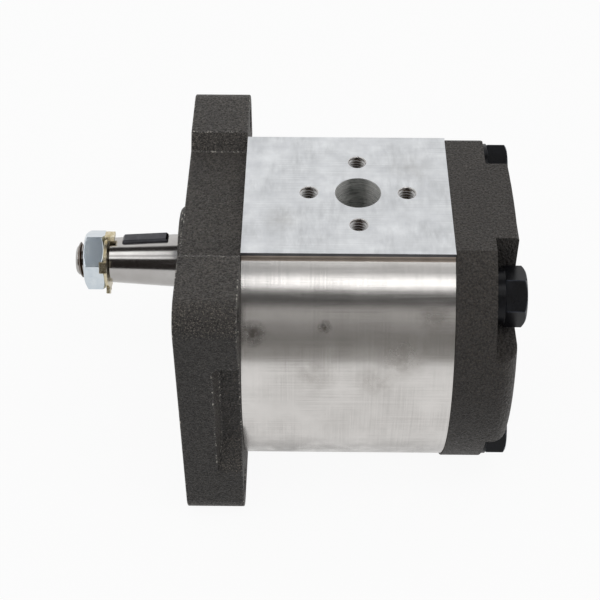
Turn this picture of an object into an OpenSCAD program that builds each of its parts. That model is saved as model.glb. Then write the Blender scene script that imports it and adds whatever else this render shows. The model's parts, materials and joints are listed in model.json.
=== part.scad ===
// External gear pump with a tapered, keyed drive shaft.
// Units are millimetres. The origin is on the drive shaft's axis, in the plane of the
// flange's mounting face. +X runs back to the rear cover and +Z faces the pressure port.

/* [Gears] */
// Distance between the two shaft axes
gear_centres = 34.4; // [33.4:0.1:35.4]
// Number of teeth on each gear
tooth_count = 12; // [11:1:13]
// Pressure angle of the teeth, in degrees
pressure_angle = 25; // [23:0.5:27]
// Face width of the gears
gear_w = 24; // [20:0.5:28]
// Height of the teeth above the pitch circle
tooth_addendum = 2.84; // [2.6:0.02:2.9]
// Room between a tooth's tip and the root of the other gear
root_clearance = 0.6; // [0.4:0.1:0.8]
// Thinning of each tooth at the pitch circle, which gives the backlash
tooth_thinning = 0.12; // [0.08:0.02:0.2]
// Running gap between the tooth tips and the body's bores
tip_gap = 0.06; // [0.04:0.01:0.1]
// Running gap between the gears' side faces and the bearing blocks
side_gap = 0.05; // [0.03:0.01:0.1]

/* [Body] */
// Length of the body between the flange and the rear cover
body_len = 63; // [58:0.5:80]
// Least wall between a gear bore and the body's round side
body_wall = 13.3; // [12.5:0.1:15]
// Wall between the gear bores and a port face
port_wall = 23.9; // [23:0.1:26]
// Height of the step beside each port face
port_step = 1.85; // [1:0.05:3]

/* [Ports] */
// Wall left between a port's full-width floor and the gear bores
port_floor_wall = 0.9; // [0.5:0.1:2]
// How much narrower the passage from a port to the gears is, on the radius
port_passage_step = 2; // [1:0.5:3]
// Distance of the ports from the body's front face
port_from_front = 34.8; // [32:0.2:38]
// Diameter of the pressure port
pressure_port_d = 14; // [10:0.5:16]
// Diameter of the circle of the pressure port's tapped holes
pressure_pcd = 30; // [28:1:34]
// Thread diameter of the pressure port's tapped holes
pressure_bolt_d = 6; // [5:1:6]
// Pitch of the pressure port's threads
pressure_bolt_pitch = 1; // [0.8:0.1:1]
// Depth of the pressure port's tapped holes
pressure_bolt_depth = 13; // [10:1:15]
// Diameter of the suction port
suction_port_d = 20; // [16:0.5:20]
// Diameter of the circle of the suction port's tapped holes
suction_pcd = 40; // [38:1:42]
// Thread diameter of the suction port's tapped holes
suction_bolt_d = 8; // [6:1:8]
// Pitch of the suction port's threads
suction_bolt_pitch = 1.25; // [1:0.25:1.25]
// Depth of the suction port's tapped holes
suction_bolt_depth = 12; // [10:1:13]
// Depth of the countersink at the mouth of the tapped holes
tap_chamfer = 0.2; // [0.1:0.1:0.8]

/* [Flange] */
// Thickness of the flange
flange_t = 18.2; // [17:0.2:24]
// How far the lugs stand above the level of the port faces
flange_over_ports = 0.4; // [0:0.1:2]
// Radius of the flange's corners
flange_corner_r = 8.5; // [7:0.5:10]
// How far the edge between the lugs lies below them
flange_waist_drop = 4.4; // [2:0.2:5]
// Half of the length of that lower edge
flange_waist_half_w = 25; // [22:0.5:27]
// Length of the slope from the lower edge up to a lug
flange_waist_slope = 6; // [3:0.5:8]
// Spacing of the mounting holes across the flange
mount_spacing_w = 96.2; // [95:0.2:100]
// Distance of the mounting holes from the flange's sides
mount_edge_w = 8.1; // [7:0.1:10]
// Distance of the mounting holes from the lugs' ends
mount_edge_h = 8.65; // [7:0.05:10]
// Diameter of the mounting holes
mount_hole_d = 9; // [8.4:0.1:11]
// Diameter of the pilot that centres the pump
pilot_d = 36.5; // [36:0.1:38]
// How far the pilot stands out of the mounting face
pilot_t = 4.7; // [4.5:0.1:6]
// Chamfer on the pilot's rim
pilot_chamfer = 1; // [0.5:0.1:1.2]
// Depth of the notch in each side of the flange
notch_depth = 4.2; // [2:0.2:5]
// Length of the notch along the shaft, at its floor
notch_len = 6.1; // [4:0.1:7]
// Length of the notch's sloping front wall
notch_slope = 1.6; // [1:0.1:3]
// Radius of the notch's upper front corner
notch_corner_r = 2.5; // [1:0.5:4]
// Height of the notch's upper end above the shafts' plane
notch_top = 24; // [20:1:26]
// Depth of the notch's lower end below the shafts' plane
notch_bottom = 21.5; // [20:0.5:26]
// Length of the ramp at the notch's lower end
notch_ramp = 11.5; // [6:0.5:14]

/* [Rear cover] */
// Thickness of the cover over its raised block
cover_t = 19; // [17:0.5:24]
// Thickness of the cover under the bolt heads
cover_base_t = 12; // [11:0.5:14]
// How far the cover's as-cast sides stand out past the body
cover_overhang = 0.6; // [0:0.1:1.5]
// How far the edge rounding of the raised block runs forward
cover_edge_len = 5.6; // [3:0.2:6.5]
// How far the edge rounding of the raised block runs inward
cover_edge_drop = 7; // [3:0.5:9]
// Chamfer on the raised block's upper and lower edges
cover_block_chamfer = 0.8; // [0.4:0.1:1.5]
// Distance from a bolt to the upright wall of its pocket, in the tighter pair
tight_pocket_y = 9.4; // [9.4:0.2:12]
// Distance from a bolt to the level wall of its pocket, in the tighter pair
tight_pocket_z = 10.3; // [9.7:0.2:12]
// Distance from a bolt to the upright wall of its pocket, in the roomier pair
roomy_pocket_y = 15.2; // [12:0.2:17]
// Distance from a bolt to the level wall of its pocket, in the roomier pair
roomy_pocket_z = 14.3; // [12:0.2:16]
// Radius of the pockets' inner corners
pocket_corner_r = 7; // [4:0.5:8]

/* [Bolts] */
// Thread diameter of the cover bolts
cover_bolt_d = 10; // [8:1:10]
// Distance of the cover bolts from the body's round side
cover_bolt_edge = 8.7; // [8:0.1:9.5]
// Angle of the cover bolts above and below the shafts' plane, in degrees
cover_bolt_deg = 44.3; // [42:0.1:46]
// Width of a bolt head across its flats
bolt_head_af = 16; // [14:0.5:16]
// Height of a bolt head
bolt_head_h = 6.4; // [5:0.2:8]
// Turns of the bolt heads in degrees: near lower, near upper, far lower, far upper
bolt_head_turns = [17, 46, 17, 17]; // [0:1:59]
// Depth of thread engaged in the flange
bolt_grip = 12.5; // [10:0.5:13]
// Free depth of the tapped hole past the bolt's end
bolt_end_room = 1.5; // [0.5:0.5:2]
// Radial clearance of a bolt in the body and the cover
bolt_clearance = 0.3; // [0.2:0.05:0.4]
// How far the spring washers' rims lie inside the corners of the bolt heads
spring_washer_rim = 0.5; // [0.3:0.1:1]
// Thickness of the spring washers
spring_washer_t = 2.5; // [1.5:0.1:3]
// Width of the cut through a spring washer
spring_washer_cut = 1.2; // [0.8:0.2:2]

/* [Drive shaft] */
// Diameter of the bearing journals and of the taper's large end
journal_d = 18; // [17:0.2:18.4]
// Length over which the taper loses one millimetre of diameter
taper_rate = 8; // [7:0.5:10]
// Length of the taper in front of the pilot
taper_len = 23.7; // [22:0.1:26]
// Outer diameter of the shaft's thread
shaft_thread_d = 12; // [11:0.5:13]
// Pitch of the shaft's thread
shaft_thread_pitch = 1.5; // [1:0.25:1.75]
// Length of the threaded end
shaft_thread_len = 11.5; // [11:0.1:16]
// Diameter of the centre drilling in the shaft's ends
centre_hole_d = 4; // [2:0.5:5]
// Chamfer on the journals' ends
journal_chamfer = 0.8; // [0.4:0.1:1.2]

/* [Key, washer and nut] */
// Width of the key
key_w = 4; // [3:0.2:5]
// Height of the key
key_h = 4; // [3:0.2:5]
// Length of the key
key_len = 15.2; // [12:0.2:16]
// How far the key stands out of the taper
key_proud = 1.1; // [0.9:0.1:2.2]
// Distance from the taper's large end to the middle of the key
key_from_front = 11.8; // [10:0.2:13]
// Turn of the key away from straight up, in degrees
key_turn = 10; // [0:1:90]
// Chamfer on the key's corners
key_chamfer = 0.6; // [0.3:0.1:0.8]
// Radial clearance of the key in its slot
key_clearance = 0.02; // [0.01:0.01:0.05]
// Thickness of the tab washer
tab_washer_t = 1.1; // [0.8:0.1:1.4]
// Outer diameter of the tab washer's ring
tab_washer_d = 19.2; // [18:0.2:20]
// Room between the taper's small end and the tab washer
tab_washer_room = 0.4; // [0.3:0.1:2]
// Width of the tabs
tab_w = 3.8; // [3:0.2:6]
// How far the upper tab is bent back over the taper
tab_bend = 2.2; // [1:0.2:4]
// Width of the nut across its flats
nut_af = 18; // [18:0.5:19]
// Thickness of the nut
nut_t = 6.8; // [5:0.2:8]
// Turn of the nut, in degrees
nut_turn = 31.3; // [0:0.1:59]
// Radial clearance of the nut's thread on the shaft's
nut_clearance = 0.1; // [0.05:0.01:0.15]

/* [Bearings] */
// Wall of a bearing bush
bush_wall = 1.2; // [1:0.1:1.5]
// Radial running clearance of a journal in its bush
journal_clearance = 0.03; // [0.02:0.01:0.05]
// Radial clearance between pieces that are seated and don't turn
seat_clearance = 0.02; // [0.01:0.01:0.04]
// How far a bush stops short of each face of its block
bush_inset = 0.8; // [0.4:0.1:1.5]
// Width of the slit along a bush
bush_slit = 0.4; // [0.2:0.1:0.8]
// Axial room between a bearing block and the flange or cover
block_end_gap = 0.1; // [0.05:0.01:0.2]
// How far a shaft end stops short of its block's outer face
shaft_end_inset = 0.6; // [0.3:0.1:2]
// Length of the relief pockets beside the mesh, across the block
relief_len = 7; // [5:0.5:9]
// Width of the relief pockets, up the block
relief_w = 5; // [3:0.5:6]
// Depth of the relief pockets
relief_depth = 1.2; // [0.6:0.1:2]
// Width of the oil groove cut through the block's mouth to each journal
oil_groove_w = 3; // [2:0.5:4]

/* [Seals] */
// Thickness of the body seals' cord
body_seal_t = 1.8; // [1.5:0.1:2.2]
// Distance from the gear bores to the middle of the body seals
body_seal_gap = 3; // [2.6:0.1:3.4]
// Side room of a body seal in its groove
body_seal_room = 0.3; // [0.1:0.1:0.5]
// Width of the balance seals
balance_seal_w = 2.2; // [1.6:0.1:2.4]
// Thickness of the balance seals
balance_seal_t = 1.6; // [1:0.1:2]
// Thickness of the backup strips on the balance seals
backup_strip_t = 0.8; // [0.4:0.1:1.2]
// Outer diameter of the shaft seal
shaft_seal_d = 30; // [28:0.5:31]
// Length of the shaft seal
shaft_seal_w = 7; // [5:0.5:8]
// Thickness of the retaining ring
retaining_ring_t = 1.2; // [1:0.1:1.5]
// Depth of the retaining ring's groove
retaining_groove = 0.7; // [0.5:0.1:1]
// Radial width of the retaining ring inside the seal's bore
retaining_ring_w = 2.2; // [1.5:0.1:3]
// Depth of the retaining ring's groove behind the pilot's face
retaining_ring_in = 1.2; // [1:0.1:2]
// Angle that the retaining ring's opening takes, in degrees
retaining_gap_deg = 34; // [20:1:60]
// Diameter of the flange's passage behind the shaft seal
shaft_passage_d = 21; // [19:0.5:24]

/* [Dowels] */
// Diameter of the dowel pins
dowel_d = 5; // [4:0.5:6]
// Length of the dowel pins
dowel_len = 12; // [8:1:12]
// Distance of the dowels from the body's round side
dowel_edge = 5.4; // [4:0.1:5.6]
// Angle of the dowels off the shafts' plane, in degrees
dowel_deg = 10; // [6:0.5:14]

/* [Hidden] */
$fn = 64;

// Overshoot of a cut past the face that it opens
cut = 1;
// The pump's upright middle plane, halfway between the two shafts
mid_y = -gear_centres / 2;
driven_y = -gear_centres;

// Places along the shaft
body_x0 = flange_t;
body_x1 = body_x0 + body_len;
cover_floor_x = body_x1 + cover_base_t;
cover_x1 = body_x1 + cover_t;
port_x = body_x0 + port_from_front;
gear_x0 = port_x - gear_w / 2;
gear_x1 = port_x + gear_w / 2;
front_block_x0 = body_x0 + block_end_gap;
front_block_x1 = gear_x0 - side_gap;
rear_block_x0 = gear_x1 + side_gap;
rear_block_x1 = body_x1 - block_end_gap;
driven_end_x0 = front_block_x0 + shaft_end_inset;
shaft_end_x1 = rear_block_x1 - shaft_end_inset;

// Gear teeth: full depth involute teeth of equal gears
gear_module = gear_centres / tooth_count;
pitch_r = gear_centres / 2;
base_r = pitch_r * cos(pressure_angle);
tip_r = pitch_r + tooth_addendum;
root_r = pitch_r - tooth_addendum - root_clearance;
tooth_t = PI * gear_module / 2 - tooth_thinning;
flank_steps = 6;
gear_bore_r = tip_r + tip_gap;
block_r = gear_bore_r - seat_clearance;

// Body: its round side clears both gear bores, and the port faces cut across it
body_r = gear_centres / 2 + gear_bore_r + body_wall;
port_face_h = gear_bore_r + port_wall;
port_step_z = port_face_h - port_step;
port_face_half_w = sqrt(body_r * body_r - port_step_z * port_step_z);
port_floor_z = gear_bore_r + port_floor_wall;
// Radial distance from a metric thread's outer to its pitch diameter, as a share of its pitch
thread_pitch_share = 0.3248;

// Flange and cover outlines
flange_half_w = mount_spacing_w / 2 + mount_edge_w;
flange_half_h = port_face_h + flange_over_ports;
flange_waist_h = flange_half_h - flange_waist_drop;
mount_spacing_h = 2 * (flange_half_h - mount_edge_h);
cover_r = body_r + cover_overhang;
// Straight steps that make up the rounded edge of the cover's block
edge_steps = 6;

// Drive shaft
journal_r = journal_d / 2;
taper_x0 = -pilot_t;
taper_x1 = taper_x0 - taper_len;
taper_end_r = journal_r - taper_len / taper_rate / 2;
shaft_tip_x = taper_x1 - shaft_thread_len;
// Depth of a metric thread's external flank, as a share of its pitch
thread_root_share = 0.6134;
thread_root_r = shaft_thread_d / 2 - thread_root_share * shaft_thread_pitch;
thread_tip_chamfer = 0.7;
key_slope = atan(1 / taper_rate / 2);
key_x = taper_x0 - key_from_front;
key_seat_r = journal_r - key_from_front / taper_rate / 2;
washer_x1 = taper_x1 - tab_washer_room;
washer_x0 = washer_x1 - tab_washer_t;
nut_x1 = washer_x0;
nut_x0 = nut_x1 - nut_t;
nut_corner_r = nut_af / 2 / cos(30);
nut_bore_r = thread_root_r + nut_clearance;
washer_hole_r = shaft_thread_d / 2 + nut_clearance;
// Directions of the washer's tabs round the shaft, from +Y towards +Z
tab_up_deg = 81;
tab_ear_deg = 152;
tab_tail_deg = 226;
// How far the bent ear reaches forward over the nut
ear_bend = 1.2;

// Bearings
bush_in_r = journal_r + journal_clearance;
bush_out_r = bush_in_r + bush_wall;
bush_bore_r = bush_out_r + seat_clearance;

// Seals
body_seal_r = gear_bore_r + body_seal_gap;
body_groove_w = body_seal_t + 2 * body_seal_room;
balance_depth = balance_seal_t + backup_strip_t;
// The balance seals cross in the middle plane, and end below the shafts' plane
balance_r = gear_centres / 2;
balance_end_z = -2;
seal_pocket_r = shaft_seal_d / 2;
ring_groove_x0 = -pilot_t + retaining_ring_in;
ring_groove_x1 = ring_groove_x0 + retaining_ring_t + 2 * seat_clearance;
seal_x0 = ring_groove_x1;
seal_x1 = seal_x0 + shaft_seal_w;
seal_pocket_end = seal_x1 + seat_clearance;
// Clearance of the seal's lip, which stands in for its light touch
seal_lip_r = journal_r + journal_clearance;

// Bolts and dowels
cover_bolt_y = (body_r - cover_bolt_edge) * cos(cover_bolt_deg);
cover_bolt_z = (body_r - cover_bolt_edge) * sin(cover_bolt_deg);
dowel_y = (body_r - dowel_edge) * cos(dowel_deg);
dowel_z = (body_r - dowel_edge) * sin(dowel_deg);
bolt_r = cover_bolt_d / 2;
bolt_hole_r = bolt_r + bolt_clearance;
bolt_tip_x = flange_t - bolt_grip;
bolt_seat_x = cover_floor_x + spring_washer_t;
bolt_point = 1;
// Hexagons: margin of the turned shape past the corners, and flat rim left inside the flats
hex_margin = 0.1;
hex_rim = 0.2;
spring_washer_d = bolt_head_af / cos(30) - 2 * spring_washer_rim;
// Direction of the cut in the spring washers round the bolts, from +Y towards +Z
spring_cut_deg = 250;
far = 2 * (flange_half_w + flange_half_h);

// Draws its 2D child, given across Y and up Z, as a slab from x0 to x1
module slab(x0, x1) {
    translate([x0, 0, 0]) rotate([90, 0, 90]) linear_extrude(x1 - x0) children();
}

// Turns a profile of [radius, x] points about the X axis
module turned(points) {
    rotate([0, 90, 0]) rotate_extrude() polygon(points);
}

// A round bar along X
module rod(x0, x1, r) {
    translate([x0, 0, 0]) rotate([0, 90, 0]) cylinder(h = x1 - x0, r = r);
}

// A round bar along Z
module post(z0, z1, r) {
    translate([0, 0, z0]) cylinder(h = z1 - z0, r = r);
}

// Repeats its child at the four cover bolts, and numbers them for it
module at_bolts() {
    for ($bolt = [0 : 3]) {
        side = $bolt < 2 ? -1 : 1;
        level = $bolt % 2 == 0 ? -1 : 1;
        translate([0, mid_y + side * cover_bolt_y, level * cover_bolt_z]) children();
    }
}

// Repeats its child at a pair of dowels on one diagonal, which slope sets to -1 or 1
module at_dowels(slope) {
    for (side = [-1, 1]) {
        translate([0, mid_y + side * dowel_y, side * slope * dowel_z]) children();
    }
}

// Round sides with a flat port face at the top and the bottom, about the middle plane
module body_outline() {
    intersection() {
        circle(body_r);
        square([2 * body_r, 2 * port_step_z], center = true);
    }
    square([2 * port_face_half_w, 2 * port_face_h], center = true);
}

// Round sides cut flat at the port faces, about the middle plane
module cover_outline() {
    intersection() {
        circle(cover_r);
        square([2 * cover_r, 2 * port_face_h], center = true);
    }
}

// Figure of eight about the two shafts
module twin_circles(r) {
    circle(r);
    translate([driven_y, 0]) circle(r);
}

// Long round-ended loop about the two shafts
module loop_shape(r) {
    twin_circles(r);
    translate([driven_y, -r]) square([gear_centres, 2 * r]);
}

// Involute function of an angle in degrees, in radians
function involute(a) = tan(a) - a * PI / 180;

// Half of a tooth's angle at radius r, in degrees
function half_tooth(r) =
    (tooth_t / 2 / pitch_r + involute(pressure_angle) - involute(acos(min(1, base_r / r)))) * 180 / PI;

// Point at radius r and angle a
function polar(r, a) = [r * cos(a), r * sin(a)];

// Radii up a tooth's flank, from the base circle to the tip
flank = [for (i = [0 : flank_steps]) base_r + (tip_r - base_r) * i / flank_steps];

// Outline of one gear, with its first tooth on the 2D x axis
function gear_points() = [
    for (k = [0 : tooth_count - 1])
        let (a = k * 360 / tooth_count, foot = half_tooth(base_r))
            each concat(
                [polar(root_r, a - foot)],
                [for (r = flank) polar(r, a - half_tooth(r))],
                [for (i = [flank_steps : -1 : 0]) polar(flank[i], a + half_tooth(flank[i]))],
                [polar(root_r, a + foot)]
            )
];

module gear() {
    slab(gear_x0, gear_x1) polygon(gear_points());
}

// Tapped hole that opens upwards at z, drawn at its thread's pitch diameter
module tapped_hole(d, pitch, depth, z) {
    r = d / 2 - thread_pitch_share * pitch;
    post(z - depth, z + cut, r);
    translate([0, 0, z - tap_chamfer])
        cylinder(h = 2 * tap_chamfer, r1 = r, r2 = r + 2 * tap_chamfer);
}

// One port, cut downwards from the upper port face, with a narrower passage to the mesh
module port_cuts(port_d, pcd, bolt_d, bolt_pitch, bolt_depth) {
    port_r = port_d / 2;
    passage_r = port_r - port_passage_step;
    translate([port_x, mid_y, 0]) {
        post(port_floor_z, port_face_h + cut, port_r);
        post(0, port_floor_z + cut, passage_r);
        translate([0, 0, port_floor_z - port_passage_step / 2])
            cylinder(h = port_passage_step / 2, r1 = passage_r, r2 = port_r);
        for (a = [0 : 90 : 270]) {
            rotate([0, 0, a]) translate([pcd / 2, 0, 0])
                tapped_hole(bolt_d, bolt_pitch, bolt_depth, port_face_h);
        }
    }
}

// Outline of the flange, about the middle plane
module flange_outline() {
    waist_end = flange_waist_half_w + flange_waist_slope;
    corner_y = flange_half_w - flange_corner_r;
    corner_z = flange_half_h - flange_corner_r;
    difference() {
        union() {
            square([2 * corner_y, 2 * flange_half_h], center = true);
            square([2 * flange_half_w, 2 * corner_z], center = true);
            for (side = [-1, 1]) {
                for (level = [-1, 1]) {
                    translate([side * corner_y, level * corner_z]) circle(flange_corner_r);
                }
            }
        }
        for (turn = [0, 180]) {
            rotate(turn) polygon([
                [-flange_waist_half_w, flange_waist_h], [flange_waist_half_w, flange_waist_h],
                [waist_end, flange_half_h + cut], [-waist_end, flange_half_h + cut]
            ]);
        }
    }
}

// Notch in one side of the flange, for both sides by turn
module side_notch(turn) {
    wall = flange_half_w - notch_depth;
    floor_x = flange_t - notch_len;
    corner_x = floor_x - notch_slope + notch_corner_r;
    translate([0, mid_y, 0]) mirror([0, turn, 0]) intersection() {
        translate([0, 0, -notch_bottom]) linear_extrude(notch_top + notch_bottom) polygon([
            [floor_x - notch_slope, flange_half_w + cut], [floor_x - notch_slope, flange_half_w],
            [floor_x, wall], [flange_t + cut, wall], [flange_t + cut, flange_half_w + cut]
        ]);
        slab(0, flange_t + 2 * cut) polygon([
            [flange_half_w + cut, notch_top], [wall, notch_top], [wall, notch_ramp - notch_bottom],
            [flange_half_w, -notch_bottom], [flange_half_w + cut, -notch_bottom]
        ]);
        translate([0, far, 0]) rotate([90, 0, 0]) linear_extrude(2 * far) {
            translate([corner_x, notch_top - notch_corner_r]) circle(notch_corner_r);
            translate([corner_x, -far]) square([far, far + notch_top]);
            translate([corner_x - notch_corner_r, -far]) square([far, far + notch_top - notch_corner_r]);
        }
    }
}

module front_flange() {
    color("#45423f") difference() {
        union() {
            translate([0, mid_y, 0]) slab(0, flange_t) flange_outline();
            turned([
                [0, -pilot_t], [pilot_d / 2 - pilot_chamfer, -pilot_t],
                [pilot_d / 2, pilot_chamfer - pilot_t], [pilot_d / 2, cut], [0, cut]
            ]);
        }
        for (side = [-1, 1]) {
            for (level = [-1, 1]) {
                translate([0, mid_y + side * mount_spacing_w / 2, level * mount_spacing_h / 2])
                    rod(-cut, flange_t + cut, mount_hole_d / 2);
            }
        }
        side_notch(0);
        side_notch(1);
        at_bolts() rod(bolt_tip_x - bolt_end_room, flange_t + cut, bolt_r + seat_clearance);
        at_dowels(1) rod(flange_t - dowel_len / 2, flange_t + cut, dowel_d / 2 + seat_clearance);
        rod(-pilot_t - cut, seal_pocket_end, seal_pocket_r);
        rod(ring_groove_x0, ring_groove_x1, seal_pocket_r + retaining_groove);
        rod(seal_pocket_end - cut, flange_t + cut, shaft_passage_d / 2);
    }
}

// Groove for a body seal, between two x places
module body_seal_groove(x0, x1) {
    slab(x0, x1) difference() {
        loop_shape(body_seal_r + body_groove_w / 2);
        loop_shape(body_seal_r - body_groove_w / 2);
    }
}

module body() {
    groove = body_seal_t + seat_clearance;
    color("#c9c9c6") difference() {
        translate([0, mid_y, 0]) slab(body_x0, body_x1) body_outline();
        slab(body_x0 - cut, body_x1 + cut) twin_circles(gear_bore_r);
        port_cuts(pressure_port_d, pressure_pcd, pressure_bolt_d, pressure_bolt_pitch, pressure_bolt_depth);
        mirror([0, 0, 1])
            port_cuts(suction_port_d, suction_pcd, suction_bolt_d, suction_bolt_pitch, suction_bolt_depth);
        at_bolts() rod(body_x0 - cut, body_x1 + cut, bolt_hole_r);
        at_dowels(1) rod(body_x0 - cut, body_x0 + dowel_len / 2, dowel_d / 2 + seat_clearance);
        at_dowels(-1) rod(body_x1 - dowel_len / 2, body_x1 + cut, dowel_d / 2 + seat_clearance);
        body_seal_groove(body_x0 - cut, body_x0 + groove);
        body_seal_groove(body_x1 - groove, body_x1 + cut);
    }
}

// Corner pocket in the quarter of the cover where Y and Z are positive
module pocket_shape(gap_y, gap_z) {
    wall_y = cover_bolt_y - gap_y;
    wall_z = cover_bolt_z - gap_z;
    r = pocket_corner_r;
    translate([wall_y + r, wall_z]) square(far);
    translate([wall_y, wall_z + r]) square(far);
    translate([wall_y + r, wall_z + r]) circle(r);
}

// The four pockets, alike in pairs across the middle
module all_pockets() {
    for (turn = [0, 180]) {
        rotate(turn) pocket_shape(roomy_pocket_y, roomy_pocket_z);
        rotate(turn) mirror([1, 0]) pocket_shape(tight_pocket_y, tight_pocket_z);
    }
}

// Profile of the raised block's rounded edge
function cover_edge() = [
    for (i = [0 : edge_steps])
        let (a = 90 * i / edge_steps)
            [cover_r - cover_edge_drop * (1 - cos(a)), cover_x1 - cover_edge_len * (1 - sin(a))]
];

// Chamfered column that runs from the upper port flat to the lower one
module block_column() {
    h = port_face_h;
    c = cover_block_chamfer;
    x0 = cover_floor_x - cut;
    half = cover_bolt_y - tight_pocket_y + c;
    translate([0, mid_y + half, 0]) rotate([90, 0, 0]) linear_extrude(2 * half) polygon([
        [x0, -h], [cover_x1 - c, -h], [cover_x1, c - h],
        [cover_x1, h - c], [cover_x1 - c, h], [x0, h]
    ]);
}

module rear_cover() {
    color("#403d3a") difference() {
        union() {
            translate([0, mid_y, 0]) slab(body_x1, cover_floor_x) cover_outline();
            difference() {
                union() {
                    block_column();
                    translate([0, mid_y, 0]) turned(concat(
                        [[0, cover_floor_x - cut], [cover_r, cover_floor_x - cut]], cover_edge(), [[0, cover_x1]]
                    ));
                }
                translate([0, mid_y, 0]) slab(cover_floor_x, cover_x1 + cut) all_pockets();
                for (side = [-1, 1]) {
                    low = port_face_h * side - (1 - side) * far / 2;
                    translate([cover_floor_x - 2 * cut, mid_y - far / 2, low]) cube([cover_t, far, far]);
                }
            }
        }
        at_bolts() rod(body_x1 - cut, cover_floor_x + cut, bolt_hole_r);
        at_dowels(-1) rod(body_x1 - cut, body_x1 + dowel_len / 2, dowel_d / 2 + seat_clearance);
    }
}

// Hexagon along X with its corners turned off at the chosen ends
module hex_prism(x0, x1, af, turn, front_off, rear_off) {
    corner_r = af / 2 / cos(30);
    turn_r = corner_r + hex_margin;
    drop = turn_r - af / 2 + hex_rim;
    rise = drop * tan(30);
    intersection() {
        rotate([turn, 0, 0]) slab(x0, x1) circle(corner_r, $fn = 6);
        turned([
            [0, x0], [turn_r - drop * front_off, x0], [turn_r, x0 + rise * front_off],
            [turn_r, x1 - rise * rear_off], [turn_r - drop * rear_off, x1], [0, x1]
        ]);
    }
}

module cover_bolts() {
    color("#1c1c1f") at_bolts() {
        hex_prism(bolt_seat_x, bolt_seat_x + bolt_head_h, bolt_head_af, bolt_head_turns[$bolt], 0, 1);
        turned([
            [0, bolt_tip_x], [bolt_r - bolt_point, bolt_tip_x], [bolt_r, bolt_tip_x + bolt_point],
            [bolt_r, bolt_seat_x + cut], [0, bolt_seat_x + cut]
        ]);
    }
}

module spring_washers() {
    color("#26262a") at_bolts() difference() {
        rod(cover_floor_x, bolt_seat_x, spring_washer_d / 2);
        rod(cover_floor_x - cut, bolt_seat_x + cut, bolt_hole_r);
        rotate([spring_cut_deg, 0, 0]) translate([cover_floor_x - cut, 0, -spring_washer_cut / 2])
            cube([spring_washer_t + 2 * cut, spring_washer_d, spring_washer_cut]);
    }
}

// Places its child at the key's seat on the taper
module at_key() {
    rotate([-key_turn, 0, 0]) translate([key_x, 0, key_seat_r]) rotate([0, -key_slope, 0]) children();
}

// Side view of the key, with its corners chamfered by c and room g all round
module key_shape(c, g) {
    x = key_len / 2 + g;
    low = key_proud - key_h - g;
    high = key_proud;
    polygon([[-x, low], [x, low], [x, high - c], [x - c, high], [c - x, high], [-x, high - c]]);
}

module shaft_key() {
    color("#4a4a4d") at_key() translate([0, key_w / 2, 0])
        rotate([90, 0, 0]) linear_extrude(key_w) key_shape(key_chamfer, 0);
}

module drive_gear_shaft() {
    c = centre_hole_d / 2;
    t = thread_tip_chamfer;
    slot_w = key_w + 2 * key_clearance;
    color("#8e8e90") difference() {
        union() {
            turned([
                [0, shaft_tip_x + c], [c, shaft_tip_x], [thread_root_r - t, shaft_tip_x],
                [thread_root_r, shaft_tip_x + t], [thread_root_r, taper_x1], [taper_end_r, taper_x1],
                [journal_r, taper_x0], [journal_r, shaft_end_x1 - journal_chamfer],
                [journal_r - journal_chamfer, shaft_end_x1], [c, shaft_end_x1], [0, shaft_end_x1 - c]
            ]);
            rotate([180, 0, 0]) gear();
        }
        at_key() translate([0, slot_w / 2, 0])
            rotate([90, 0, 0]) linear_extrude(slot_w) key_shape(0, key_clearance);
    }
}

module driven_gear() {
    c = centre_hole_d / 2;
    color("#8a8a8c") translate([0, driven_y, 0]) {
        turned([
            [0, driven_end_x0 + c], [c, driven_end_x0], [journal_r - journal_chamfer, driven_end_x0],
            [journal_r, driven_end_x0 + journal_chamfer], [journal_r, shaft_end_x1 - journal_chamfer],
            [journal_r - journal_chamfer, shaft_end_x1], [c, shaft_end_x1], [0, shaft_end_x1 - c]
        ]);
        rotate([180 / tooth_count, 0, 0]) gear();
    }
}

// One tab of the washer: a plate at radius r0 to r1, in the direction deg
module washer_tab(deg, r0, r1, x0, x1, w) {
    rotate([deg, 0, 0]) translate([x0, r0, -w / 2]) cube([x1 - x0, r1 - r0, w]);
}

module tab_washer() {
    ring_r = tab_washer_d / 2;
    root = ring_r - cut;
    tail_end = nut_corner_r + 1;
    ear_start = nut_corner_r + nut_clearance;
    ear_end = ear_start + tab_washer_t;
    color("#b7a56a") difference() {
        union() {
            rod(washer_x0, washer_x1, ring_r);
            washer_tab(tab_up_deg, root, ring_r + tab_washer_t / 2, washer_x0, washer_x1 + tab_bend, tab_w);
            washer_tab(tab_tail_deg, root, tail_end, washer_x0, washer_x1, tab_w);
            washer_tab(tab_ear_deg, root, ear_end, washer_x0, washer_x1, tab_w);
            washer_tab(tab_ear_deg, ear_start, ear_end, washer_x0 - ear_bend, washer_x1, tab_w);
        }
        rod(washer_x0 - cut, washer_x1 + cut, washer_hole_r);
    }
}

module shaft_nut() {
    color("#b9c0c6") difference() {
        hex_prism(nut_x0, nut_x1, nut_af, nut_turn, 1, 1);
        rod(nut_x0 - cut, nut_x1 + cut, nut_bore_r);
    }
}

// Outline of the balance seals: two arcs that meet in the middle plane, w wide
module balance_shape(w) {
    intersection() {
        difference() {
            twin_circles(balance_r + w / 2);
            circle(balance_r - w / 2);
            translate([driven_y, 0]) circle(balance_r - w / 2);
        }
        translate([driven_y - far, balance_end_z]) square(2 * far);
    }
}

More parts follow.
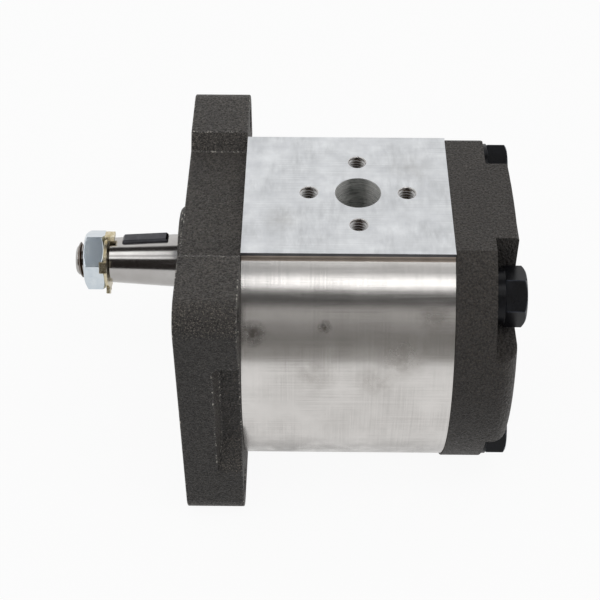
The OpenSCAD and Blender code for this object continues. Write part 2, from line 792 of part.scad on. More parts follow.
// A bearing block from x0 to x1, whose outer face with the seal groove lies at seal_x
module bearing_block(x0, x1, seal_x) {
    inner_x = seal_x == x0 ? x1 : x0;
    difference() {
        slab(x0, x1) twin_circles(block_r);
        for (y = [0, driven_y]) {
            translate([0, y, 0]) rod(x0 - cut, x1 + cut, bush_bore_r);
        }
        slab(seal_x - balance_depth, seal_x + balance_depth)
            balance_shape(balance_seal_w + 2 * seat_clearance);
        for (level = [-1, 1]) {
            translate([inner_x - relief_depth, mid_y - relief_len / 2, level * (pitch_r / 2) - relief_w / 2])
                cube([2 * relief_depth, relief_len, relief_w]);
        }
        for (y = [0, driven_y]) {
            translate([seal_x - relief_depth, y - oil_groove_w / 2, -block_r - cut])
                cube([2 * relief_depth, oil_groove_w, block_r]);
        }
    }
}

module front_bearing_block() {
    color("#b4b0a6") bearing_block(front_block_x0, front_block_x1, front_block_x0);
}

module rear_bearing_block() {
    color("#b4b0a6") bearing_block(rear_block_x0, rear_block_x1, rear_block_x1);
}

// A slit bush round the shaft at y, inside the block from x0 to x1
module bush(y, x0, x1) {
    a = x0 + bush_inset;
    b = x1 - bush_inset;
    color("#9b7b4f") translate([0, y, 0]) difference() {
        rod(a, b, bush_out_r);
        rod(a - cut, b + cut, bush_in_r);
        translate([a - cut, -bush_slit / 2, 0]) cube([b - a + 2 * cut, bush_slit, 2 * bush_out_r]);
    }
}

module drive_front_bush() {
    bush(0, front_block_x0 + balance_depth, front_block_x1);
}

module drive_rear_bush() {
    bush(0, rear_block_x0, rear_block_x1 - balance_depth);
}

module driven_front_bush() {
    bush(driven_y, front_block_x0 + balance_depth, front_block_x1);
}

module driven_rear_bush() {
    bush(driven_y, rear_block_x0, rear_block_x1 - balance_depth);
}

module shaft_seal() {
    r = seal_pocket_r - seat_clearance;
    x0 = seal_x0 + seat_clearance;
    web_x = seal_x0 + shaft_seal_w / 4;
    edge_x = seal_x0 + shaft_seal_w * 0.6;
    chamfer = 0.5;
    shell = r - 1.6;
    lip = seal_lip_r + 1.6;
    color("#2b2420") turned([
        [r, x0], [r, seal_x1 - chamfer], [r - chamfer, seal_x1], [shell, seal_x1],
        [shell, web_x], [lip, web_x + chamfer], [lip, seal_x1 - 2 * chamfer],
        [seal_lip_r, edge_x], [seal_lip_r + 2 * chamfer, x0]
    ]);
}

module seal_retaining_ring() {
    out_r = seal_pocket_r + retaining_groove - seat_clearance;
    in_r = seal_pocket_r - retaining_ring_w;
    x0 = ring_groove_x0 + seat_clearance;
    x1 = x0 + retaining_ring_t;
    half = retaining_gap_deg / 2;
    eye_turn = half + 6;
    eye_r = 0.8;
    lug_r = 1.9;
    color("#3a3a3c") difference() {
        rod(x0, x1, out_r);
        difference() {
            rod(x0 - cut, x1 + cut, in_r);
            for (side = [-1, 1]) {
                rotate([270 + side * eye_turn, 0, 0]) translate([0, in_r, 0])
                    rod(x0 - 2 * cut, x1 + 2 * cut, lug_r);
            }
        }
        for (side = [-1, 1]) {
            rotate([270 + side * eye_turn, 0, 0]) translate([0, in_r, 0]) rod(x0 - cut, x1 + cut, eye_r);
        }
        slab(x0 - cut, x1 + cut) polygon([[0, 0], polar(far, 270 - half), polar(far, 270 + half)]);
    }
}

// A body seal: a round cord laid in a long loop, with its middle at x
module body_seal(x) {
    r = body_seal_t / 2;
    color("#1e1e1e") {
        translate([x, 0, 0]) rotate([90, 0, 90]) rotate(-90)
            rotate_extrude(angle = 180) translate([body_seal_r, 0]) circle(r);
        translate([x, driven_y, 0]) rotate([90, 0, 90]) rotate(90)
            rotate_extrude(angle = 180) translate([body_seal_r, 0]) circle(r);
        for (level = [-1, 1]) {
            translate([x, driven_y, level * body_seal_r]) rotate([-90, 0, 0])
                cylinder(h = gear_centres, r = r);
        }
    }
}

module front_body_seal() {
    body_seal(body_x0 + body_seal_t / 2);
}

module rear_body_seal() {
    body_seal(body_x1 - body_seal_t / 2);
}

module front_balance_seal() {
    x1 = front_block_x0 + balance_depth;
    color("#232323") slab(x1 - balance_seal_t, x1) balance_shape(balance_seal_w);
}

module rear_balance_seal() {
    x0 = rear_block_x1 - balance_depth;
    color("#232323") slab(x0, x0 + balance_seal_t) balance_shape(balance_seal_w);
}

module front_backup_strip() {
    color("#e4e0d2") slab(front_block_x0, front_block_x0 + backup_strip_t) balance_shape(balance_seal_w);
}

module rear_backup_strip() {
    color("#e4e0d2") slab(rear_block_x1 - backup_strip_t, rear_block_x1) balance_shape(balance_seal_w);
}

// A dowel pin with chamfered ends across the joint at x
module dowel(x) {
    r = dowel_d / 2;
    c = dowel_d / 10;
    half = dowel_len / 2 - seat_clearance;
    turned([
        [0, x - half], [r - c, x - half], [r, x - half + c],
        [r, x + half - c], [r - c, x + half], [0, x + half]
    ]);
}

module front_dowel_pins() {
    color("#8f9094") at_dowels(1) dowel(body_x0);
}

module rear_dowel_pins() {
    color("#8f9094") at_dowels(-1) dowel(body_x1);
}

front_flange();
body();
rear_cover();
cover_bolts();
spring_washers();
drive_gear_shaft();
shaft_key();
tab_washer();
shaft_nut();
driven_gear();
front_bearing_block();
rear_bearing_block();
drive_front_bush();
drive_rear_bush();
driven_front_bush();
driven_rear_bush();
shaft_seal();
seal_retaining_ring();
front_body_seal();
rear_body_seal();
front_balance_seal();
rear_balance_seal();
front_backup_strip();
rear_backup_strip();
front_dowel_pins();
rear_dowel_pins();
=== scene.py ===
import json
import math

import bmesh
import bpy
from mathutils import Matrix, Vector


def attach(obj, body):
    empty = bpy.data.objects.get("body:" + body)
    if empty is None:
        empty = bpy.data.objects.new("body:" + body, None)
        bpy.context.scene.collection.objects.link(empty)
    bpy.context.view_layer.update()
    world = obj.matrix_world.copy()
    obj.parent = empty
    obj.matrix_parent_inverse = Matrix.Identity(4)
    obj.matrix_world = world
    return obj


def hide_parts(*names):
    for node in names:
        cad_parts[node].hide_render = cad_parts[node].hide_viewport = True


# Lengths are written in millimetres and turned into metres by MM.
MM = 0.001

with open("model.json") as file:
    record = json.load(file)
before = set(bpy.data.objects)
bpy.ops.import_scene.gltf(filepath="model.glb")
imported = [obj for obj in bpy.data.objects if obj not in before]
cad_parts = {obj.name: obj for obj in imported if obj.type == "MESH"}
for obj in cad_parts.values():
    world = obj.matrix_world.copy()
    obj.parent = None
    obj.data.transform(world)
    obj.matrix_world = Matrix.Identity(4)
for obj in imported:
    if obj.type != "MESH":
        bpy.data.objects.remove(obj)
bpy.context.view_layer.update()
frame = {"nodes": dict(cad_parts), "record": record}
NODES = frame["nodes"]
SLOT_OF = {part["node"]: part["material_slot"] for part in frame["record"]["subparts"]}

# Places that the pieces share with the solids, in millimetres: the shaft's axis is the origin,
# X runs from the shaft's tip to the rear cover, and Z points out of the pressure port
MID_Y = -17.2
PORT_X = 53.0
PORT_FACE = 44.0
BODY_R = 50.6
BODY_X0 = 18.2
BODY_X1 = 81.2
SHAFT_TIP = -39.9
TAPER_END = -28.4
# The port face's half width, and the hollow beside it
STEP_Y = 28.0
HOLLOW_R = 2.3
# The body's end faces and edges stand this far clear of what the scene adds to them
SKIN = 0.03


def linear(code):
    """Linear colour of an sRGB hex code."""
    parts = [int(code[k:k + 2], 16) / 255 for k in (1, 3, 5)]
    return (*(c / 12.92 if c <= 0.04045 else ((c + 0.055) / 1.055) ** 2.4 for c in parts), 1.0)


def add(tree, kind, inputs=None, **settings):
    """Adds a shader node. inputs maps its sockets to values or to other nodes' outputs."""
    node = tree.nodes.new("ShaderNode" + kind)
    for key, value in settings.items():
        setattr(node, key, value)
    for key, value in (inputs or {}).items():
        if isinstance(value, bpy.types.NodeSocket):
            tree.links.new(value, node.inputs[key])
        else:
            node.inputs[key].default_value = value
    return node


def new_material(name, base):
    """A material with a principled shader, and the place on the piece in millimetres."""
    material = bpy.data.materials.new(name)
    material.use_nodes = True
    tree = material.node_tree
    tree.nodes.clear()
    shader = add(tree, "BsdfPrincipled", base)
    add(tree, "OutputMaterial", {0: shader.outputs[0]})
    place = add(tree, "VectorMath", {0: add(tree, "TexCoord").outputs["Object"], "Scale": 1 / MM}, operation="SCALE")
    return material, tree, shader, place.outputs[0]


def grain(tree, place, size, low=0.35, high=0.65, stretch=(1, 1, 1), detail=3.0, rough=0.55, shift=0.0):
    """A 0 to 1 pattern of spots of about that size in millimetres, drawn out along an axis by stretch."""
    scaled = add(tree, "VectorMath", {0: place, 1: tuple(1 / size / s for s in stretch)}, operation="MULTIPLY")
    moved = add(tree, "VectorMath", {0: scaled.outputs[0], 1: (shift, shift * 0.7, shift * 1.3)})
    noise = add(tree, "TexNoise", {"Vector": moved.outputs[0], "Scale": 1.0, "Detail": detail, "Roughness": rough})
    spread = add(tree, "MapRange", {0: noise.outputs[0], 1: low, 2: high, 3: 0.0, 4: 1.0})
    return spread.outputs[0]


def calc(tree, operation, a, b=0.0, c=0.5, clamp=False):
    """The result of one sum on two values. c is what MULTIPLY_ADD adds."""
    return add(tree, "Math", {0: a, 1: b, 2: c}, operation=operation, use_clamp=clamp).outputs[0]


def blend(tree, share, a, b):
    """Colour or value a turned into b by share."""
    return add(tree, "Mix", {0: share, 6: a, 7: b}, data_type="RGBA").outputs[2]


def relief(tree, heights):
    """A bump from (height, depth in millimetres) pairs, one on top of the other."""
    normal = None
    for height, depth in heights:
        inputs = {"Height": height, "Distance": depth * MM, "Strength": 1.0}
        if normal:
            inputs["Normal"] = normal
        normal = add(tree, "Bump", inputs).outputs[0]
    return normal


def link(tree, shader, **sockets):
    """Joins outputs to the shader's sockets, with _ for a space in their names."""
    for name, output in sockets.items():
        tree.links.new(output, shader.inputs[name.replace("_", " ")])


def cast_iron(name, colour, fleck, chips):
    """Dark primer over cast iron: rough and sparkling where cast, with fine lines on milled sides.

    chips is the share of bare bright metal on the piece's worn edges.
    """
    material, tree, shader, place = new_material(name, {})
    normal = add(tree, "SeparateXYZ", {0: add(tree, "NewGeometry").outputs["True Normal"]})
    side = calc(tree, "ABSOLUTE", normal.outputs[1])
    top = calc(tree, "ABSOLUTE", normal.outputs[2])
    slant = calc(tree, "MULTIPLY", calc(tree, "MULTIPLY", side, top), 3.0, clamp=True)
    fine = grain(tree, place, 0.62, 0.34, 0.66, detail=3)
    pits = grain(tree, place, 1.3, 0.3, 0.7, detail=3, shift=4)
    specks = grain(tree, place, 0.34, 0.55, 0.68, detail=2, shift=7)
    clouds = grain(tree, place, 8, 0.3, 0.7, shift=3)
    lines = grain(tree, place, 0.3, 0.3, 0.7, stretch=(70, 70, 1), shift=11)
    dark = blend(tree, clouds, linear(colour[0]), linear(colour[1]))
    dark = blend(tree, calc(tree, "MULTIPLY", fine, 0.9), dark, linear(colour[2]))
    # Painted shade: faces that look along Y, to the front and back, are turned towards the darkest colour
    flat = calc(tree, "MULTIPLY", calc(tree, "POWER", side, 3.0), 0.7)
    dark = blend(tree, flat, dark, linear(colour[2]))
    share = calc(tree, "MULTIPLY", specks, calc(tree, "MULTIPLY_ADD", slant, 0.5))
    worn = grain(tree, place, 1.1, 0.62 - chips, 0.7 - chips, detail=4, shift=17)
    share = calc(tree, "MAXIMUM", share, calc(tree, "MULTIPLY", worn, 1.0 if chips else 0.0))
    rough = calc(tree, "MULTIPLY_ADD", fine, 0.25, 0.42)
    link(
        tree, shader, Base_Color=blend(tree, share, dark, linear(fleck)), Roughness=rough,
        Metallic=calc(tree, "MULTIPLY", share, 0.9),
        Normal=relief(tree, [(lines, 0.008), (fine, 0.42), (pits, 0.3), (clouds, 0.2)]),
    )
    return material


def metal(name, colours, roughness, grains, spot=8.0, metallic=1.0, stains_and_painted_shade=(), specular=0.5, streaks=(), ends=None):
    """Bare or plated metal, and with metallic at 0 rubber or plastic.

    colours are two shades, in clouds of the size spot; roughness is its lowest and highest;
    grains are (size, stretch, depth) of its surface lines;
    streaks are (size, stretch, colour, share) of lines in its colour;
    stains_and_painted_shade are (place, radius, colour, share) of soft spots, in millimetres: stains, and painted
    shade;
    ends is the colour of a painted highlight on a hole's walls where they face along the pump.
    """
    material, tree, shader, place = new_material(name, {"Metallic": metallic, "Specular IOR Level": specular})
    clouds = grain(tree, place, spot, 0.3, 0.7, detail=4, shift=2)
    shade = blend(tree, clouds, linear(colours[0]), linear(colours[1]))
    layers = []
    for k, (size, stretch, depth) in enumerate(grains):
        lines = grain(tree, place, size, 0.2, 0.8, stretch=stretch, detail=3, shift=5 + k)
        layers.append((lines, depth))
    rough = add(tree, "MapRange", {0: layers[0][0], 3: roughness[0], 4: roughness[1]}).outputs[0]
    for k, (size, stretch, colour, share) in enumerate(streaks):
        lines = grain(tree, place, size, 0.35, 0.75, stretch=stretch, detail=4, shift=23 + k)
        patches = grain(tree, place, 11, 0.35, 0.65, shift=31 + k)
        amount = calc(tree, "MULTIPLY", lines, calc(tree, "MULTIPLY", patches, share))
        shade = blend(tree, amount, shade, linear(colour))
    # Soft spots of stain, and of painted shade where a call lists it
    for middle, radius, colour, share in stains_and_painted_shade:
        away = add(tree, "VectorMath", {0: place, 1: middle}, operation="DISTANCE").outputs["Value"]
        ragged = grain(tree, place, radius * 0.4, 0.3, 0.7, detail=5, shift=radius)
        spread = calc(tree, "MULTIPLY_ADD", ragged, -1.1, 1.0)
        near = add(tree, "MapRange", {0: away, 1: radius, 2: radius * 0.2, 3: 0.0, 4: share}).outputs[0]
        near = calc(tree, "MULTIPLY", near, calc(tree, "ADD", spread, 0.3, clamp=True))
        shade = blend(tree, near, shade, linear(colour))
        rough = calc(tree, "ADD", rough, calc(tree, "MULTIPLY", near, 0.3))
    # Painted highlight: walls that face along the pump are turned towards the ends colour
    if ends:
        normal = add(tree, "SeparateXYZ", {0: add(tree, "NewGeometry").outputs["Normal"]})
        along = add(tree, "MapRange", {0: calc(tree, "ABSOLUTE", normal.outputs[0]), 1: 0.3, 2: 0.8, 3: 0.0, 4: 1.0})
        shade = blend(tree, along.outputs[0], shade, linear(ends))
    link(tree, shader, Base_Color=shade, Roughness=rough, Normal=relief(tree, layers))
    return material


MATERIALS = {
    "cast_iron": cast_iron("cast_iron", ("#484441", "#57524d", "#161312"), "#8a847b", 0.0),
    "cover_iron": cast_iron("cover_iron", ("#45403c", "#514c47", "#1c1816"), "#5f5952", 0.0),
    "worn_iron": cast_iron("worn_iron", ("#494644", "#565250", "#1c1918"), "#b9b5ad", 0.05),
    "body_aluminium": metal(
        "body_aluminium", ("#d5d2cf", "#dedbd8"), (0.15, 0.22),
        [(0.12, (250, 1, 1), 0.0012), (0.22, (1, 40, 40), 0.002), (1.5, (1, 1, 6), 0.004)], 14,
        streaks=[(0.5, (1, 60, 60), "#94908c", 0.32), (0.25, (120, 1, 1), "#94908c", 0.42)],
        stains_and_painted_shade=[
            ((22.0, -60.5, 26.0), 4.6, "#544c45", 0.75), ((43.0, -59.5, 28.0), 2.4, "#5f574f", 0.8),
            ((66.0, -63.5, 20.0), 9.0, "#8f8982", 0.5), ((58.0, -66.5, 12.0), 7.0, "#9a958f", 0.4),
            ((75.0, -58.0, 30.0), 6.0, "#8f8982", 0.4), ((40.0, -66.0, 14.0), 8.0, "#a39e98", 0.35),
            # Painted reflection of the floor's shadow: grey patches along the lower round side
            *(((x, -61.0, -25.3), 15.0, "#5b5753", share)
              for x, share in ((23.0, 0.4), (35.0, 0.36), (48.0, 0.3), (62.0, 0.27), (76.0, 0.25))),
        ]),
    "milled_aluminium": metal(
        "milled_aluminium", ("#cfd1d4", "#e6e8ea"), (0.32, 0.45), [(0.3, (80, 1, 1), 0.003), (3.0, (1, 2, 1), 0.01)], 6,
        streaks=[(1.6, (1, 4, 1), "#b4b6b8", 0.7), (0.4, (60, 1, 1), "#b9bbbd", 0.6)],
        stains_and_painted_shade=[((30.0, -30.0, 44.0), 7.0, "#a9a7a4", 0.35), ((70.0, -5.0, 44.0), 8.0, "#a9a7a4", 0.3)]),
    # Painted shade: darker brownish aluminium for the hollows beside the port faces
    "hollow_painted_shade": metal(
        "hollow_painted_shade", ("#9a8e84", "#ab9f95"), (0.3, 0.42), [(0.2, (90, 1, 1), 0.003)], 5),
    # Painted shade: dark grey aluminium for the walls beside the port faces
    "step_wall_painted_shade": metal("step_wall_painted_shade", ("#4a4a4c", "#58585a"), (0.3, 0.42), [(0.2, (90, 1, 1), 0.003)], 5),
    # Painted highlight: lighter bluish grey for the bevelled edges of the black bolt heads
    "black_painted_edge_highlight": metal("black_painted_edge_highlight", ("#24262b", "#43464d"), (0.25, 0.35), [(0.3, (1, 1, 1), 0.01)], 1.5),
    "black_steel": metal(
        "black_steel", ("#0c0c0e", "#15161a"), (0.24, 0.38), [(0.3, (1, 1, 1), 0.01)], 4, metallic=0.2, specular=0.22),
    "ground_steel": metal(
        "ground_steel", ("#aeaba8", "#bcbab8"), (0.12, 0.2), [(0.1, (1, 60, 60), 0.0008), (1.2, (1, 1, 1), 0.004)], 9),
    "shaft_thread": metal("shaft_thread", ("#5b4a3d", "#7b6a5b"), (0.25, 0.4), [(0.2, (1, 1, 1), 0.004)], 1.2),
    "key_steel": metal("key_steel", ("#3c3c3f", "#4c4c50"), (0.2, 0.3), [(0.1, (60, 1, 1), 0.001)], 3),
    "yellow_zinc": metal("yellow_zinc", ("#e4dcc4", "#b5a57e"), (0.2, 0.35), [(0.3, (1, 1, 1), 0.006)], 1.5),
    "white_zinc": metal(
        "white_zinc", ("#dce3e8", "#ccd6de"), (0.09, 0.14), [(0.16, (1, 1, 40), 0.003), (0.5, (1, 1, 1), 0.004)], 3),
    "bearing_alloy": metal("bearing_alloy", ("#b4b0a6", "#c2beb4"), (0.35, 0.5), [(0.2, (30, 1, 1), 0.004)], 4),
    "bush_bronze": metal("bush_bronze", ("#8f6d42", "#a5834f"), (0.35, 0.5), [(0.2, (1, 1, 1), 0.006)], 2),
    "seal_rubber": metal(
        "seal_rubber", ("#1d1b19", "#262320"), (0.55, 0.7), [(0.3, (1, 1, 1), 0.01)], 3, metallic=0.0),
    "spring_steel": metal(
        "spring_steel", ("#2c2c2e", "#3a3a3c"), (0.35, 0.5), [(0.2, (1, 1, 1), 0.005)], 2, metallic=0.8),
    "backup_plastic": metal(
        "backup_plastic", ("#dcd7c6", "#e6e2d4"), (0.4, 0.5), [(0.2, (1, 1, 1), 0.004)], 3, metallic=0.0),
    # Thread flanks: dark brown, with a painted highlight (white, through ends) where they face along the pump
    "thread_groove": metal(
        "thread_groove", ("#4d3e33", "#2e241e"), (0.25, 0.35), [(0.1, (1, 1, 1), 0.004)], 0.8,
        metallic=0.15, ends="#ffffff"),
    "thread_crest": metal(
        "thread_crest", ("#f6f6f4", "#ffffff"), (0.3, 0.4), [(0.1, (1, 1, 1), 0.004)], 2, metallic=0.3),
    # Port bores, with a painted highlight (near white, through ends) on the walls that face along the pump
    "port_bore": metal(
        "port_bore", ("#868886", "#a2a4a1"), (0.22, 0.32), [(0.45, (14, 14, 1), 0.05)], 3, metallic=0.55,
        streaks=[(0.45, (14, 14, 1), "#2f312f", 0.95), (0.7, (10, 10, 1), "#f6f6f2", 0.6)], ends="#fafaf8"),
}


def cad_shape(node, shortest=0.0):
    """The solid's shape, with split corners joined, flat faces made whole and edges below that length gone."""
    source = NODES[node].data
    bm = bmesh.new()
    verts = [bm.verts.new(v.co) for v in source.vertices]
    for face in source.polygons:
        bm.faces.new([verts[k] for k in face.vertices])
    bmesh.ops.remove_doubles(bm, verts=bm.verts, dist=0.002 * MM)
    bmesh.ops.dissolve_limit(bm, angle_limit=math.radians(0.3), verts=bm.verts, edges=bm.edges)
    if shortest:
        bmesh.ops.dissolve_degenerate(bm, dist=shortest * MM, edges=bm.edges)
    return bm


def piece_from(name, bm, slot, body="housing", node=None, materials=None, edge=0.0, sharp=32, edge_material=-1):
    """Makes the mesh a piece that rides on a body, may stand for a solid, and has soft edges of that width."""
    mesh = bpy.data.meshes.new(name)
    bm.to_mesh(mesh)
    bm.free()
    for material in materials or [slot]:
        mesh.materials.append(MATERIALS[material])
    mesh.shade_smooth()
    mesh.set_sharp_from_angle(angle=math.radians(sharp))
    piece = bpy.data.objects.new(name, mesh)
    bpy.context.collection.objects.link(piece)
    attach(piece, body)
    if node:
        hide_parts(node)
    if edge:
        bevel = piece.modifiers.new("soft edges", "BEVEL")
        bevel.width = edge * MM
        bevel.segments = 2
        bevel.limit_method = "ANGLE"
        bevel.angle_limit = math.radians(sharp)
        bevel.use_clamp_overlap = False
        bevel.material = edge_material
        bevel.harden_normals = True
    return piece


def thread_ridge(bm, place, root_r, crest_r, pitch, start, end, crest_slot=0, flank_slot=0, steps=40):
    """Adds a screw thread's ridge about the Z axis of place, from height start to end, in millimetres."""
    turns = (end - start) / pitch
    count = max(8, int(steps * turns))
    shape = ((root_r, -0.44), (crest_r, -0.07), (crest_r, 0.07), (root_r, 0.44))
    rings = []
    for k in range(count + 1):
        t = k / count
        fade = min(1.0, min(t, 1 - t) * turns / 0.35)
        angle = 2 * math.pi * turns * t
        ring = []
        for r, along in shape:
            radius = (root_r + (r - root_r) * fade) * MM
            height = (start + (end - start) * t + along * pitch * (0.3 + 0.7 * fade)) * MM
            ring.append(bm.verts.new(place @ Vector((radius * math.cos(angle), radius * math.sin(angle), height))))
        rings.append(ring)
    for a, b in zip(rings, rings[1:]):
        for k in range(4):
            face = bm.faces.new((a[k], b[k], b[(k + 1) % 4], a[(k + 1) % 4]))
            face.material_index = crest_slot if k == 1 else flank_slot
    bm.faces.new(rings[0])
    bm.faces.new(list(reversed(rings[-1])))


def add_hollows(bm, slot, steps=8):
    """Adds the hollow that leads from each port face's edge down to the body's round side."""
    rim = Vector((STEP_Y, PORT_FACE - SKIN))
    reach = BODY_R + HOLLOW_R
    turn = math.acos((reach ** 2 + rim.length ** 2 - HOLLOW_R ** 2) / (2 * reach * rim.length))
    foot = math.atan2(rim.y, rim.x) - turn
    middle = Vector((reach * math.cos(foot), reach * math.sin(foot)))
    start = math.atan2(rim.y - middle.y, rim.x - middle.x) % (2 * math.pi)
    curve = [Vector((STEP_Y - 0.5, PORT_FACE - SKIN)), rim]
    for k in range(1, steps):
        angle = start + (foot + math.pi - start) * k / steps
        curve.append(middle + HOLLOW_R * Vector((math.cos(angle), math.sin(angle))))
    curve.append(Vector((math.cos(foot), math.sin(foot))) * (BODY_R - 0.02))
    curve.append(Vector((STEP_Y - 0.5, 40.0)))
    for side in (-1, 1):
        for level in (-1, 1):
            ends = [
                [bm.verts.new(Vector((x, MID_Y + side * point.x, level * point.y)) * MM) for point in curve]
                for x in (BODY_X0 + SKIN, BODY_X1 - SKIN)
            ]
            faces = [bm.faces.new(ends[0]), bm.faces.new(list(reversed(ends[1])))]
            for k in range(len(curve)):
                other = (k + 1) % len(curve)
                faces.append(bm.faces.new((ends[0][other], ends[0][k], ends[1][k], ends[1][other])))
            bmesh.ops.recalc_face_normals(bm, faces=faces)
            for face in faces:
                face.material_index = slot


# The castings. The cover's shortest edges are joined, as its soft edges would cross there.
for name, node, iron, shortest in (
    ("flange_casting", "front_flange", "cast_iron", 0.0),
    ("cover_casting", "rear_cover", "cover_iron", 0.3),
):
    casting = piece_from(
        name, cad_shape(node, shortest), "cast_iron", node=node, materials=[iron, "worn_iron"],
        edge=0.35, edge_material=1)
    casting.modifiers["soft edges"].use_clamp_overlap = shortest > 0

# The body: milled port faces, round sides, darker bores with painted highlights on their sides, and walls beside the
# port faces; the walls and the hollows beside the port faces take painted shade
BODY_FINISHES = ["body_aluminium", "milled_aluminium", "port_bore", "hollow_painted_shade", "step_wall_painted_shade"]
bm = cad_shape("body")
for face in bm.faces:
    middle = face.calc_center_median() / MM
    radial = math.hypot(middle.x - PORT_X, middle.y - MID_Y)
    if abs(middle.z) > PORT_FACE - 0.05:
        face.material_index = BODY_FINISHES.index("milled_aluminium")
    elif radial < 12 and abs(face.normal.z) < 0.8:
        face.material_index = BODY_FINISHES.index("port_bore")
    elif abs(abs(middle.y - MID_Y) - STEP_Y) < 0.3 and abs(face.normal.y) > 0.9:
        face.material_index = BODY_FINISHES.index("step_wall_painted_shade")
# The hollows take the painted shade material
add_hollows(bm, BODY_FINISHES.index("hollow_painted_shade"))
piece_from("body_extrusion", bm, "body_aluminium", node="body", materials=BODY_FINISHES, edge=0.2)

# Threads cut in the port faces: side, radius of the circle, hole, crest, pitch and depth
for name, side, circle, hole_r, minor_r, pitch, depth in (
    ("pressure_port_threads", 1, 15.0, 2.68, 2.35, 1.0, 11.5),
    ("suction_port_threads", -1, 20.0, 3.6, 3.2, 1.25, 10.5),
):
    bm = bmesh.new()
    for k in range(4):
        angle = math.pi / 2 * k
        spot = Vector((PORT_X + circle * math.cos(angle), MID_Y + circle * math.sin(angle), side * PORT_FACE)) * MM
        turn = Matrix.Rotation(0 if side > 0 else math.pi, 4, "X")
        thread_ridge(bm, Matrix.Translation(spot) @ turn, hole_r + 0.02, minor_r, pitch, -depth, -0.35, 0, 1)
    bmesh.ops.recalc_face_normals(bm, faces=bm.faces)
    piece_from(name, bm, "body_aluminium", materials=["thread_crest", "thread_groove"], sharp=50)

# Fastenings
# The bolt heads' bevelled edges take a painted edge highlight
piece_from(
    "cover_bolt_set", cad_shape("cover_bolts"), "black_steel", node="cover_bolts",
    materials=["black_steel", "black_painted_edge_highlight"], edge=0.2, edge_material=1)
piece_from("spring_washer_set", cad_shape("spring_washers"), "black_steel", node="spring_washers", edge=0.15)

# The drive shaft's outer end
bm = cad_shape("drive_gear_shaft")
along_x = Matrix.Rotation(math.pi / 2, 4, "Y")
thread_ridge(bm, along_x, 5.05, 6.0, 1.5, SHAFT_TIP + 0.6, TAPER_END - 0.4, 0, 1)
bmesh.ops.recalc_face_normals(bm, faces=bm.faces)
piece_from(
    "drive_shaft_with_gear", bm, "ground_steel", "drive_shaft", "drive_gear_shaft",
    materials=["ground_steel", "shaft_thread"], edge=0.12)
piece_from("taper_key", cad_shape("shaft_key"), "key_steel", "drive_shaft", "shaft_key", edge=0.15)
piece_from("locking_washer", cad_shape("tab_washer"), "yellow_zinc", "drive_shaft", "tab_washer", edge=0.15)
piece_from("thin_nut", cad_shape("shaft_nut"), "white_zinc", "drive_shaft", "shaft_nut", edge=0.15)

# The other solids keep their shape and take a finish
for name, node in NODES.items():
    if not node.hide_render:
        node.data.materials.clear()
        node.data.materials.append(MATERIALS[SLOT_OF[name]])


def plane(name, corners, material):
    """A flat stage piece."""
    mesh = bpy.data.meshes.new(name)
    mesh.from_pydata([Vector(c) for c in corners], [], [(0, 1, 2, 3)])
    mesh.materials.append(material)
    card = bpy.data.objects.new(name, mesh)
    bpy.context.collection.objects.link(card)
    return card


def backdrop_material(name, colour, glow, share, share_in_metal):
    """Matt white that shows itself as plain white, by one share to the camera and by another in metal."""
    material = bpy.data.materials.new(name)
    material.use_nodes = True
    tree = material.node_tree
    tree.nodes.clear()
    path = add(tree, "LightPath")
    seen = calc(tree, "MULTIPLY", path.outputs["Is Camera Ray"], share)
    seen = calc(tree, "MAXIMUM", seen, calc(tree, "MULTIPLY", path.outputs["Is Glossy Ray"], share_in_metal))
    matt = add(tree, "BsdfDiffuse", {0: colour})
    white = add(tree, "Emission", {0: (1, 1, 1, 1), 1: glow})
    mixed = add(tree, "MixShader", {0: seen, 1: matt.outputs[0], 2: white.outputs[0]})
    add(tree, "OutputMaterial", {0: mixed.outputs[0]})
    return material


# Floor, cards that the metal reflects, and lamps
FLOOR_Z = -0.0446
FLOOR_HALF = 8
plane(
    "floor",
    [(x * FLOOR_HALF, y * FLOOR_HALF, FLOOR_Z) for x, y in ((-1, -1), (1, -1), (1, 1), (-1, 1))],
    backdrop_material("floor_white", (0.8, 0.8, 0.8, 1), 1.0, 0.93, 0.7))


def ray_point(elevation, distance):
    """Point that far from the pump, at that angle above the front horizon."""
    angle = math.radians(elevation)
    return (MID_Y * MM - distance * math.cos(angle), distance * math.sin(angle))


def card(name, colour, low, high, x0=-1.3, x1=1.3, distance=1.0):
    """A card of that colour between two angles above the front horizon."""
    material = bpy.data.materials.new(name)
    material.use_nodes = True
    shader = material.node_tree.nodes["Principled BSDF"]
    shader.inputs["Base Color"].default_value = linear(colour)
    shader.inputs["Roughness"].default_value = 0.9
    (y0, z0), (y1, z1) = ray_point(low, distance), ray_point(high, distance)
    piece = plane(name, [(x0, y0, z0), (x1, y0, z0), (x1, y1, z1), (x0, y1, z1)], material)
    piece.visible_camera = False
    piece.visible_shadow = False
    piece.visible_diffuse = False
    return piece


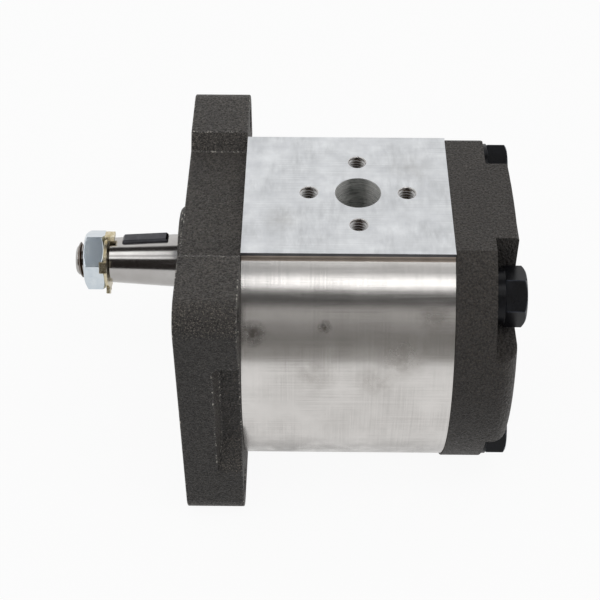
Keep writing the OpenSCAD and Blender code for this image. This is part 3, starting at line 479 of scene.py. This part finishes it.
# Place along the cards, in metres: the shaft mirrors what lies left of it
SPLIT_X = -0.09
card("shaft_card", "#2a2320", -2.4, 49, x1=SPLIT_X)
card("nut_card", "#8d9399", 49, 86, -0.226, -0.045, distance=0.97).visible_shadow = True
card("floor_card", "#c2c0bd", -2.4, 8, x0=SPLIT_X)
card("low_card", "#a5a3a0", 8, 20, x0=SPLIT_X)
card("middle_card", "#bcbab8", 20, 27, x0=SPLIT_X)
card("high_card", "#e2e0de", 27, 37, x0=SPLIT_X)
card("front_card", "#1d1a18", 37, 49, x0=SPLIT_X)
card("gap_card", "#d4d4d4", 57.5, 68, x0=-0.06)
card("overhead_card", "#2a2523", 85, 110)


def lamp(name, elevation, distance, x0, x1, size_y, watts):
    """A rectangular lamp at that angle above the front horizon, from x0 to x1, aimed at the shafts' height."""
    light = bpy.data.lights.new(name, "AREA")
    light.shape = "RECTANGLE"
    light.size = x1 - x0
    light.size_y = size_y
    light.energy = watts
    piece = bpy.data.objects.new(name, light)
    bpy.context.collection.objects.link(piece)
    y, z = ray_point(elevation, distance)
    centre = Vector(((x0 + x1) / 2, MID_Y * MM, 0))
    spot = Vector((centre.x, y, z))
    piece.location = spot
    piece.rotation_euler = (spot - centre).to_track_quat("Z", "Y").to_euler()
    piece.visible_camera = False


lamp("low_softbox", 53.3, 1.0, -0.95, 0.95, 0.13, 0.95)
lamp("high_softbox", 76.0, 1.0, -0.95, 0.95, 0.28, 2.1)

world = bpy.data.worlds.new("studio")
bpy.context.scene.world = world
world.use_nodes = True
tree = world.node_tree
tree.nodes.clear()
path = add(tree, "LightPath")
seen = calc(tree, "ADD", path.outputs["Is Camera Ray"], path.outputs["Is Glossy Ray"])
seen = calc(tree, "ADD", seen, path.outputs["Is Transmission Ray"], clamp=True)
strength = add(tree, "MapRange", {0: seen, 3: 0.6, 4: 1.0})
ground = add(tree, "Background", {0: (1, 1, 1, 1), 1: strength.outputs[0]})
add(tree, "OutputWorld", {0: ground.outputs[0]})

# The camera, as worked out from the photograph's straight edges
camera = bpy.data.cameras.new("camera")
camera.lens = 81.77
camera.sensor_width = 36
camera.clip_start = 0.01
eye = bpy.data.objects.new("camera", camera)
bpy.context.collection.objects.link(eye)
forward = Vector((-0.0081, 0.7221, -0.6918)).normalized()
right = forward.cross(Vector((0, 0, 1))).normalized()
up = right.cross(forward)
eye.matrix_world = Matrix((
    (right.x, up.x, -forward.x, 38.9 * MM),
    (right.y, up.y, -forward.y, -340.8 * MM),
    (right.z, up.z, -forward.z, 308.4 * MM),
    (0, 0, 0, 1),
))
scene = bpy.context.scene
scene.camera = eye
scene.view_settings.view_transform = "Standard"
